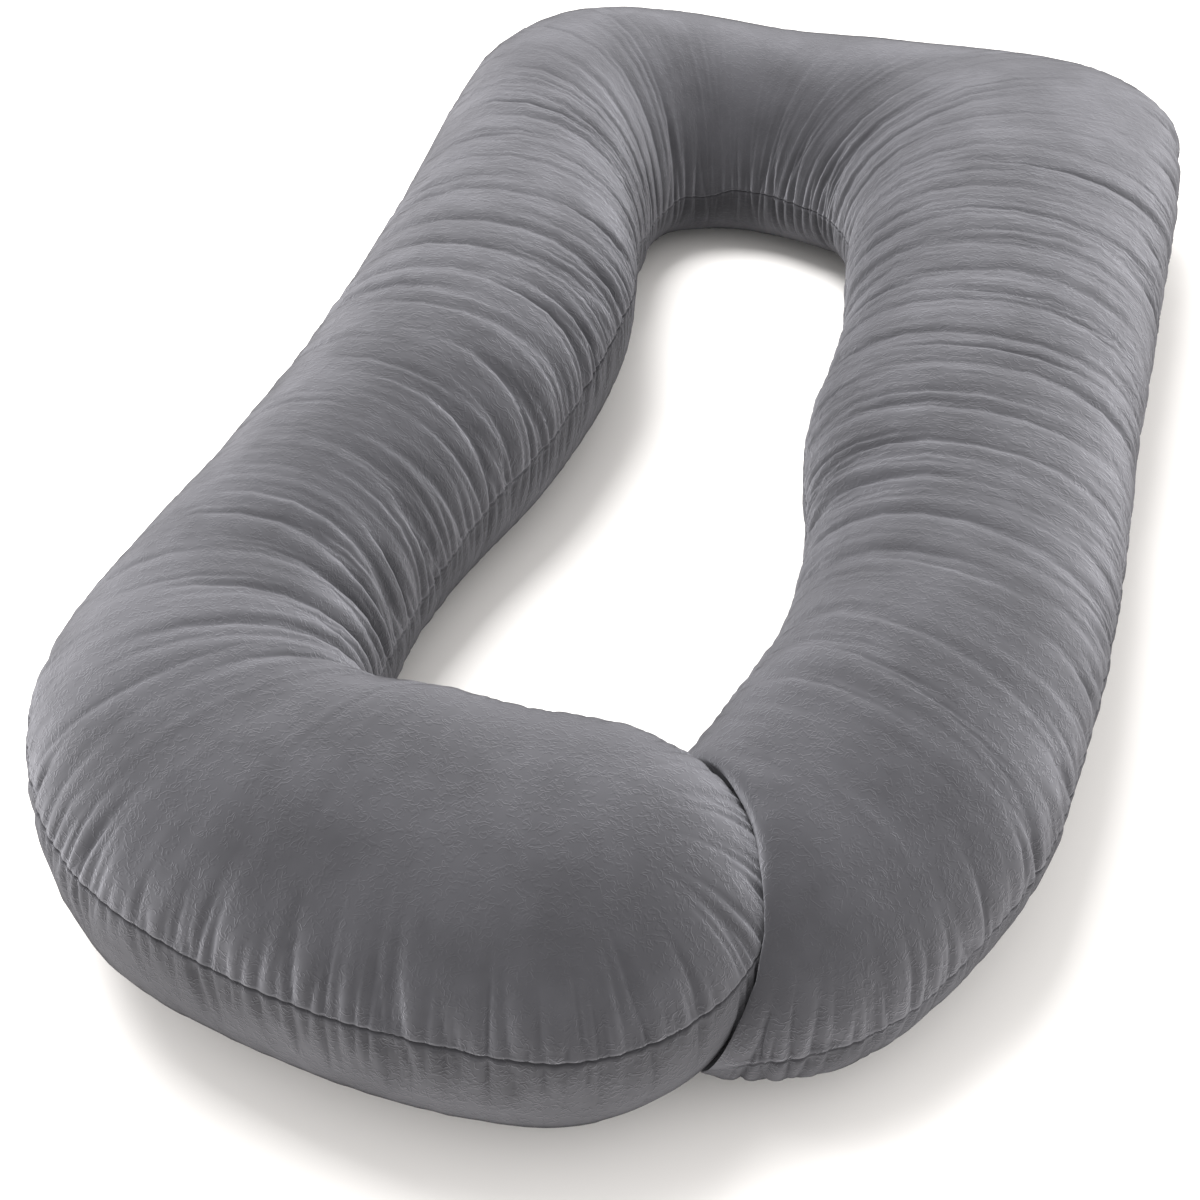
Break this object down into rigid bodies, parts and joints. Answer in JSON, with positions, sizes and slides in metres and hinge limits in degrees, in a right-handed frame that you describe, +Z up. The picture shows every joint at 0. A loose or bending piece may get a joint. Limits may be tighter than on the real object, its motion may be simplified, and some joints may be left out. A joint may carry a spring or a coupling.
{
  "type": "full-body support pillow",
  "caption": "U-shaped full-body pillow in matt velvet, one leg hooked in across the other, with a seam round its whole outline.",
  "frame": {"origin": "middle of the plan outline, on the surface that the pillow lies on", "axes": "+X right, +Y from the hooked end to the closed end of the U, +Z up"},
  "size_m": [0.7931, 1.4023, 0.235],
  "materials": {
    "velvet": "matt short-pile velvet, mid grey with a faint blue cast"
  },
  "bodies": {
    "root": {"pillow": "velvet"}
  },
  "joints": []
}
